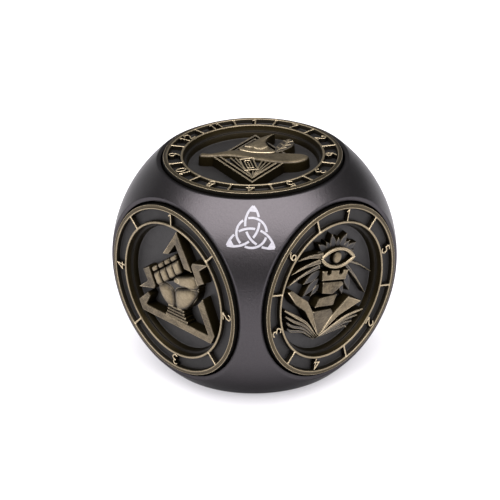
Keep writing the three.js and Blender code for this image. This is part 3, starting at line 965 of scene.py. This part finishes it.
def inner_ring():
    low, high = BEARING_BOTTOM, BEARING_TOP
    work = Builder()
    work.lathe([(BORE_R + BEARING_EDGE, high), (BORE_R, high - BEARING_EDGE),
                (BORE_R, low + BEARING_EDGE), (BORE_R + BEARING_EDGE, low),
                (INNER_SHOULDER_R, low), *race(INNER_SHOULDER_R), (INNER_SHOULDER_R, high)],
               BEARING_STEPS, closed=True)
    return work


def ball_cage():
    """A ribbon cage: two waved strips with a ball in each wave."""
    work = Builder()
    section = [(CAGE_INNER_R, -1), (CAGE_OUTER_R, -1), (CAGE_OUTER_R, 1), (CAGE_INNER_R, 1)]
    for half in (-1, 1):
        rows = []
        for radius, face in section:
            points = []
            for a in turns(BALL_COUNT * 16):
                wave = 0.12 + 0.74 * max(math.cos(a * BALL_COUNT), 0.0) ** 0.6
                height = BEARING_MIDDLE + half * (wave + face * CAGE_STRIP / 2)
                points.append(polar(radius, a, height))
            rows.append(work.ring(points))
        work.bridges(rows + rows[:1])
    ball = Builder()
    half_circle = arc(0, BEARING_MIDDLE, BALL_SIZE, BALL_SIZE, -90, 90, 12)[1:-1]
    ball.lathe([(0, BEARING_MIDDLE - BALL_SIZE), *half_circle, (0, BEARING_MIDDLE + BALL_SIZE)], 24)
    for a in turns(BALL_COUNT):
        work.placed(ball, turn=a, shift=(PITCH_R, 0))
    return work


def hub_washer():
    low, high = WASHER_BOTTOM, WASHER_TOP
    work = Builder()
    work.lathe([(SCREW_HOLE_R, low), (WASHER_R - 0.15, low), (WASHER_R, low + 0.15), (WASHER_R, high - 0.08),
                (WASHER_R - 0.08, high), (SCREW_HOLE_R, high)], 64, closed=True)
    return work


SCREW_R = 1.5
THREAD_ROOT_R = 1.28
THREAD_PITCH = 0.5
SOCKET_FLAT = 1.0  # from the axis to a flat
HEAD_R = 2.75


def hexagon(half_flat, height, steps):
    """Points round a hexagon about Z, evenly spaced in angle."""
    points = []
    for a in turns(steps):
        from_flat = (a + math.pi / 6) % (math.pi / 3) - math.pi / 6
        points.append(polar(half_flat / math.cos(from_flat), a, height))
    return points


def screw_profile():
    """From the rim of the head to the end of the thread, as (radius, height)."""
    head_top = WASHER_BOTTOM - HUB_GAP
    thread_end = BEARING_TOP - 0.5
    head = [(2.1, HEAD_BOTTOM), (2.5, HEAD_BOTTOM + 0.2), (2.72, HEAD_BOTTOM + 0.6),
            (HEAD_R, HEAD_BOTTOM + 0.9), (HEAD_R, head_top), (SCREW_R, head_top)]
    thread = []
    for i in range(int((thread_end - head_top - 1.2) / THREAD_PITCH)):
        start = head_top + 1.0 + THREAD_PITCH * i
        thread += [(SCREW_R, start), (THREAD_ROOT_R, start + THREAD_PITCH * 0.45)]
    point = [(SCREW_R, thread_end), (1.3, thread_end + 0.2), (0, thread_end + 0.2)]
    return head + thread + point


def hub_screw():
    """A button-head screw. Its hexagon socket faces the centre of the body."""
    steps = 48
    work = Builder()
    mouth = work.ring(hexagon(SOCKET_FLAT, HEAD_BOTTOM, steps))
    floor = work.ring(hexagon(SOCKET_FLAT, HEAD_BOTTOM + 1.1, steps))
    work.bridges([mouth, floor, work.ring([(0, 0, HEAD_BOTTOM + 1.4)])])
    work.bridges([mouth] + [work.ring(circle(radius, height, steps)) for radius, height in screw_profile()])
    return work


HARDWARE = {
    # CAD node: (maker, slot, the body's ending or root)
    "bearing_outer_ring": (outer_ring, "bearing_steel", None),
    "bearing_inner_ring": (inner_ring, "bearing_steel", "rotor"),
    "ball_cage": (ball_cage, "cage_steel", "cage"),
    "hub_washer": (hub_washer, "hub_steel", "rotor"),
    "hub_screw": (hub_screw, "hub_steel", "rotor"),
}


def hardware(die, materials):
    normal, up, *_ = FACES[die]
    for node, (make, slot, ending) in HARDWARE.items():
        piece = make().build(f"{die}_{node}_turned", materials[slot], face_matrix(normal, up))
        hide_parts(f"{die}_{node}")
        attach(piece, f"{die}_{ending}" if ending else "root")


# ---- Materials

def rgb(red, green, blue):
    return (red, green, blue, 1)


def grey(value):
    return (value, value, value, 1)


def set_stops(node, stops):
    """Sets a colour ramp's grey stops: (place, value)."""
    elements = node.color_ramp.elements
    while len(elements) < len(stops):
        elements.new(0.5)
    for element, (place, value) in zip(elements, stops):
        element.position = place
        element.color = grey(value)


class Nodes:
    """A node material: `add` makes a node and sets or links its inputs."""

    def __init__(self, name):
        self.material = bpy.data.materials.new(name)
        self.material.use_nodes = True
        self.tree = self.material.node_tree
        self.tree.nodes.clear()
        self.out = self.tree.nodes.new("ShaderNodeOutputMaterial")

    def add(self, kind, inputs=None, **settings):
        node = self.tree.nodes.new("ShaderNode" + kind)
        for key, value in settings.items():
            setattr(node, key, value)
        for key, value in (inputs or {}).items():
            if isinstance(value, bpy.types.NodeSocket):
                self.tree.links.new(value, node.inputs[key])
            else:
                node.inputs[key].default_value = value
        return node

    def place(self):
        """The point being shaded, in the piece's own frame."""
        return self.add("TexCoord").outputs["Object"]

    def stretched(self, place, scale, turn=(0, 0, 0)):
        return self.add("Mapping", {"Vector": place, "Rotation": turn, "Scale": scale}).outputs[0]

    def z(self, vector):
        return self.add("SeparateXYZ", {0: vector}).outputs["Z"]

    def length(self, vector):
        return self.add("VectorMath", {0: vector}, operation="LENGTH").outputs["Value"]

    def noise(self, place, scale, detail, **more):
        return self.add("TexNoise", {"Vector": place, "Scale": scale, "Detail": detail, **more}).outputs[0]

    def openness(self, distance):
        """1 out in the open, and less where something within the distance in millimetres shuts it in."""
        return self.add("AmbientOcclusion", {"Distance": distance * MM}, samples=8).outputs["AO"]

    def span(self, source, low, high, start=0.0, end=1.0):
        """From start, where the source is low, to end, where it is high."""
        return self.add("MapRange", {0: source, 1: low, 2: high, 3: start, 4: end}).outputs[0]

    def ramp(self, source, stops):
        node = self.add("ValToRGB", {0: source})
        set_stops(node, stops)
        return node.outputs[0]

    def mix(self, factor, a, b):
        return self.add("Mix", {0: factor, 6: a, 7: b}, data_type="RGBA").outputs[2]

    def joined(self, operation, a, b):
        return self.add("Math", {0: a, 1: b}, operation=operation).outputs[0]

    def product(self, first, *others):
        for other in others:
            first = self.joined("MULTIPLY", first, other)
        return first

    def bumps(self, height, strength, distance, **below):
        """A bump map. Its distance is in millimetres."""
        inputs = {"Height": height, "Strength": strength, "Distance": distance * MM, **below}
        return self.add("Bump", inputs).outputs[0]

    def finish(self, inputs):
        """Gives the material a principled surface with these inputs."""
        surface = self.add("BsdfPrincipled", inputs)
        self.tree.links.new(surface.outputs[0], self.out.inputs[0])
        return self.material


# The bronze's colours where it is rubbed, from its brightest edges down to its scratches.
BRIGHT_EDGE = rgb(0.7, 0.585, 0.4)
HIGH_LIGHT, HIGH_DARK = rgb(0.46, 0.38, 0.25), rgb(0.26, 0.21, 0.135)
CLOUD_LIGHT, CLOUD_DARK = rgb(0.16, 0.127, 0.08), rgb(0.04, 0.03, 0.018)
GRAIN_LIGHT = rgb(0.22, 0.178, 0.115)
SCRATCH_DARK = rgb(0.05, 0.038, 0.021)
# And its dark skin's.
FLOOR_LIGHT, FLOOR_DARK = rgb(0.07, 0.068, 0.067), rgb(0.04, 0.0385, 0.039)
WALL_LIGHT, WALL_DARK = rgb(0.024, 0.018, 0.008), rgb(0.01, 0.0075, 0.003)
CREVICE = rgb(0.006, 0.005, 0.003)
CHANNEL_SKIN = rgb(0.02, 0.019, 0.018)
LEDGE_SKIN = rgb(0.014, 0.012, 0.009)
BAND_SKIN = rgb(0.045, 0.035, 0.02)
FLANK_SKIN = rgb(0.012, 0.011, 0.009)


class Bronze(Nodes):
    """Antique bronze: brushed and worn where it stands proud, blackened where it is deep."""

    def __init__(self):
        super().__init__("antique_bronze")
        coordinates = self.add("TexCoord")
        place = coordinates.outputs["Object"]
        self.patches = self.noise(place, 330.0, 6.0, Roughness=0.65)
        self.clouds = self.noise(place, 320.0, 4.0)
        self.grain = self.noise(place, 2600.0, 3.0)
        self.scratches = self.noise(self.stretched(place, (0.25, 1.0, 1.0), (0, 0, 0.9)), 4200.0, 3.0)
        self.height = self.z(place)
        self.radius = self.length(self.stretched(place, (1, 1, 0)))
        self.facing = self.z(coordinates.outputs["Normal"])
        self.flatness = self.span(self.facing, 0.45, 0.92)
        self.open_air = self.openness(1.0)
        # 0 on the deepest floor, 1 at the face
        self.depth = self.span(self.height, BASIN_FLOOR * MM, FACE * MM)
        ragged = self.span(self.patches, 0.0, 1.0, -0.06, 0.06)
        self.proud = self.ramp(self.joined("ADD", self.depth, ragged), [(0.68, 0.0), (0.9, 1.0)])

    def across(self, inner, outer, start=0.0, end=1.0):
        """From start, at an inner radius in millimetres, to end, at an outer one."""
        return self.span(self.radius, inner * MM, outer * MM, start, end)

    def worn(self):
        """Where the dark skin is rubbed off: on what is high, level and out in the open."""
        return self.product(self.proud, self.flatness, self.ramp(self.open_air, [(0.3, 0.2), (0.85, 1.0)]))

    def edges(self):
        """Where the metal is rubbed bright: on high edges, and on the picture's lower ones in the open."""
        softened = self.add("Bevel", {"Radius": 0.22 * MM}, samples=6).outputs[0]
        world_normal = self.add("NewGeometry").outputs["Normal"]
        likeness = self.add("VectorMath", {0: softened, 1: world_normal}, operation="DOT_PRODUCT")
        edge = self.ramp(likeness.outputs["Value"], [(0.92, 1.0), (0.996, 0.0)])
        in_picture = self.across(10.6, 11.0, 1.0, 0.0)
        raised = self.ramp(self.depth, [(0.3, 0.0), (0.45, 0.6)])
        clear = self.ramp(self.open_air, [(0.7, 0.0), (0.9, 1.0)])
        standing = self.joined("MAXIMUM", self.proud, self.product(raised, clear, in_picture))
        return self.product(edge, standing, self.span(self.facing, 0.25, 0.6))

    def rubbed(self):
        """Worn metal: cloudy, grained and scratched, and lightest on the highest rims."""
        colour = self.mix(self.ramp(self.clouds, [(0.4, 0.0), (0.62, 1.0)]), CLOUD_DARK, CLOUD_LIGHT)
        colour = self.mix(self.ramp(self.grain, [(0.35, 0.0), (0.65, 0.45)]), colour, GRAIN_LIGHT)
        colour = self.mix(self.ramp(self.scratches, [(0.45, 0.0), (0.7, 0.6)]), colour, SCRATCH_DARK)
        highest = self.span(self.height, (FACE - 0.3) * MM, (FACE - 0.04) * MM, 0.0, 0.5)
        return self.mix(highest, colour, self.mix(self.grain, HIGH_DARK, HIGH_LIGHT))

    def blackened(self):
        """Dark skin: grey on the floors, browner on the walls, and nearly black in the corners."""
        floor = self.mix(self.patches, FLOOR_DARK, FLOOR_LIGHT)
        wall = self.mix(self.patches, WALL_DARK, WALL_LIGHT)
        in_open = self.ramp(self.open_air, [(0.2, 0.0), (0.6, 1.0)])
        colour = self.mix(in_open, CREVICE, self.mix(self.flatness, wall, floor))
        channel = self.across(12.6, 12.95, 0.0, 0.45)
        colour = self.mix(channel, colour, CHANNEL_SKIN)
        ledge = self.ramp(self.across(11.5, 12.5), [(0.1, 0.0), (0.3, 0.75), (0.8, 0.75), (0.85, 0.0)])
        return self.mix(ledge, colour, LEDGE_SKIN)

    def rim(self, colour):
        """Darkens the band round the outside of the rim, and its flank."""
        across_rim = self.across(RIM_INNER_R, DIAL_R)
        band = self.ramp(across_rim, [(0.3, 0.0), (0.38, 0.9), (0.84, 0.9), (0.92, 0.0)])
        flank = self.ramp(across_rim, [(0.93, 0.0), (0.99, 1.0)])
        return self.mix(flank, self.mix(band, colour, BAND_SKIN), FLANK_SKIN)

    def finished(self):
        worn, edge = self.worn(), self.edges()
        colour = self.mix(edge, self.mix(worn, self.blackened(), self.rubbed()), BRIGHT_EDGE)
        skin = self.mix(self.grain, grey(0.5), grey(0.62))
        metal = self.mix(self.scratches, grey(0.34), grey(0.5))
        roughness = self.mix(edge, self.mix(worn, skin, metal), grey(0.52))
        scratched = self.bumps(self.scratches, 0.12, 0.04)
        return self.finish({
            "Base Color": self.rim(colour), "Metallic": 1.0, "Roughness": roughness,
            "Normal": self.bumps(self.grain, 0.3, 0.05, Normal=scratched),
        })


def anodised_material():
    """Bead-blasted aluminium with a dark grey anodised skin, darkened with painted shade where something near
    shuts it in, most of all down by the floor.
    """
    n = Nodes("anodised_body")
    place = n.place()
    cloud = n.noise(place, 90.0, 4.0)
    beads = n.noise(place, 3400.0, 2.0)
    pits = n.add("TexVoronoi", {"Vector": place, "Scale": 5200.0}).outputs["Distance"]
    colour = n.mix(cloud, rgb(0.05, 0.0463, 0.049), rgb(0.06, 0.0554, 0.0587))
    colour = n.mix(n.ramp(beads, [(0.3, 0.0), (0.7, 0.35)]), colour, rgb(0.076, 0.0706, 0.0747))
    # Painted shade: strongest where the floor or the dials shut the body in within 14 mm, most near the
    # floor.
    painted_shade = n.ramp(n.openness(14), [(0.3, 0.55), (0.6, 0.3), (0.9, 0.0)])
    pitted = n.bumps(pits, 0.18, 0.03)
    return n.finish({
        # Painted shade darkens the colour towards near black here, and the specular tint below.
        "Base Color": n.mix(painted_shade, colour, rgb(0.008, 0.007, 0.008)),
        "Metallic": 1.0,
        "Roughness": n.mix(cloud, grey(0.3), grey(0.36)),
        "Normal": n.bumps(beads, 0.6, 0.04, Normal=pitted),
        "Specular Tint": n.mix(painted_shade, grey(0.7), grey(0.3)),
    })


def steel_material(name, colour, smoothest, roughest, mark_scale):
    """Turned or ground steel: fine rings of tool marks about the axis, with faint stains."""
    n = Nodes(name)
    place = n.place()
    marks = n.noise(n.stretched(place, (0.12, 0.12, 1.0)), mark_scale, 3.0)
    stains = n.noise(place, 420.0, 4.0)
    stained = rgb(*(0.8 * channel for channel in colour))
    return n.finish({
        "Base Color": n.mix(stains, stained, rgb(*colour)),
        "Metallic": 1.0,
        "Roughness": n.mix(marks, grey(smoothest), grey(roughest)),
        "Normal": n.bumps(marks, 0.1, 0.02),
    })


def print_material():
    """White pad-printed ink, very slightly uneven."""
    n = Nodes("pointer_print")
    speck = n.noise(n.place(), 2400.0, 4.0)
    colour = n.mix(n.ramp(speck, [(0.25, 0.0), (0.6, 1.0)]), rgb(0.22, 0.217, 0.24), rgb(0.29, 0.286, 0.315))
    return n.finish({"Base Color": colour, "Roughness": 0.5, "Normal": n.bumps(speck, 0.2, 0.02)})


def floor_material():
    """A pale floor that glows with painted light: least under the die, as a painted contact shadow, and most
    just round it, where the die's lower half reflects it.
    """
    n = Nodes("studio_floor")
    speck = n.add("TexNoise", {"Scale": 40.0}).outputs[0]
    away = n.length(n.place())
    # Painted light: the floor glows though it is no lamp, and the glow dips under the die as a painted
    # contact shadow.
    painted_glow = n.ramp(away, [(0.013, 0.1), (0.03, 0.6), (0.05, 0.95), (0.16, 0.7), (0.25, 0.5)])
    return n.finish({
        "Base Color": n.mix(speck, rgb(0.32, 0.32, 0.33), rgb(0.35, 0.35, 0.36)),
        "Roughness": 0.6,
        "Emission Color": rgb(0.98, 0.96, 1),
        # The painted glow and painted contact shadow.
        "Emission Strength": painted_glow,
    })


# ---- Studio

CAMERA_AZIMUTH = math.radians(47.01)
CAMERA_ELEVATION = math.radians(27.26)
CAMERA_ROLL = math.radians(-1.03)
CAMERA_DISTANCE = 0.4442
CAMERA_LENS = 176.3
CAMERA_SHIFT = (-0.009, 0.0076)


def camera():
    az, el = CAMERA_AZIMUTH, CAMERA_ELEVATION
    back = Vector((math.sin(az) * math.cos(el), -math.cos(az) * math.cos(el), math.sin(el)))
    right = (-back).cross(Vector((0, 0, 1))).normalized()
    up = right.cross(-back)
    c, s = math.cos(CAMERA_ROLL), math.sin(CAMERA_ROLL)
    right, up = right * c + up * s, up * c - right * s
    data = bpy.data.cameras.new("camera")
    data.lens = CAMERA_LENS
    data.sensor_width = 36
    data.shift_x, data.shift_y = CAMERA_SHIFT
    data.clip_start, data.clip_end = 0.01, 10
    view = bpy.data.objects.new("camera", data)
    turn = Matrix((right, up, back)).transposed().to_4x4()
    view.matrix_world = Matrix.Translation(back * CAMERA_DISTANCE) @ turn
    bpy.context.scene.collection.objects.link(view)
    bpy.context.scene.camera = view


WHITE = (1, 1, 1)
ROSY_WHITE = (1.0, 0.965, 0.975)
SOFTBOXES = {
    # name: (place, size, power, colour)
    "key_box": ((0.207, -0.186, 0.571), (1.6, 0.65), 18.0, ROSY_WHITE),
    "left_box": ((-0.25, -0.6, 0.16), (0.1, 0.34), 0.62, WHITE),
    "side_box": ((-0.65, 0.1, 0.09), (0.5, 0.25), 0.22, WHITE),
    "right_box": ((0.6, 0.25, 0.16), (0.1, 0.34), 0.62, WHITE),
}
SKY = ((0.0, 0.27), (0.15, 0.21), (0.4, 0.22), (1.0, 0.85))  # (height of the direction, brightness)


def softboxes():
    """Rectangular area lights that face the die."""
    for name, (place, size, power, colour) in SOFTBOXES.items():
        data = bpy.data.lights.new(name, "AREA")
        data.shape = "RECTANGLE"
        data.size, data.size_y = size
        data.energy = power
        data.color = colour
        light = bpy.data.objects.new(name, data)
        light.location = place
        light.rotation_euler = (-Vector(place)).to_track_quat("-Z", "Y").to_euler()
        bpy.context.scene.collection.objects.link(light)


def sky():
    """A soft grey room that is brightest overhead."""
    world = bpy.data.worlds.new("studio")
    world.use_nodes = True
    tree = world.node_tree
    direction = tree.nodes.new("ShaderNodeTexCoord")
    split = tree.nodes.new("ShaderNodeSeparateXYZ")
    brightness = tree.nodes.new("ShaderNodeValToRGB")
    set_stops(brightness, SKY)
    tree.links.new(direction.outputs["Generated"], split.inputs[0])
    tree.links.new(split.outputs["Z"], brightness.inputs[0])
    tree.links.new(brightness.outputs[0], tree.nodes["Background"].inputs[0])
    bpy.context.scene.world = world
    bpy.context.scene.view_settings.view_transform = "Standard"


FLOOR_HALF = 1.5  # metres
FLOOR_CELLS = 24


def floor(material):
    work = Builder()
    places = [(2 * i / FLOOR_CELLS - 1) * FLOOR_HALF / MM for i in range(FLOOR_CELLS + 1)]
    work.bridges([work.ring([(x, y, -FACE) for x in places]) for y in places], closed=False)
    piece = work.build("studio_floor", material)
    for polygon_face in piece.data.polygons:
        if polygon_face.normal.z < 0:
            polygon_face.flip()


def main():
    camera()
    softboxes()
    sky()
    floor(floor_material())
    body_shell(anodised_material())
    pointer_knot(print_material())
    bronze = Bronze().finished()
    steels = {
        "bearing_steel": steel_material("bearing_steel", (0.7, 0.71, 0.73), 0.12, 0.24, 2600.0),
        "cage_steel": steel_material("cage_steel", (0.58, 0.56, 0.52), 0.22, 0.36, 1800.0),
        "hub_steel": steel_material("hub_steel", (0.2, 0.205, 0.215), 0.32, 0.46, 2200.0),
    }
    for die in FACES:
        dial(die, bronze)
        hardware(die, steels)


main()
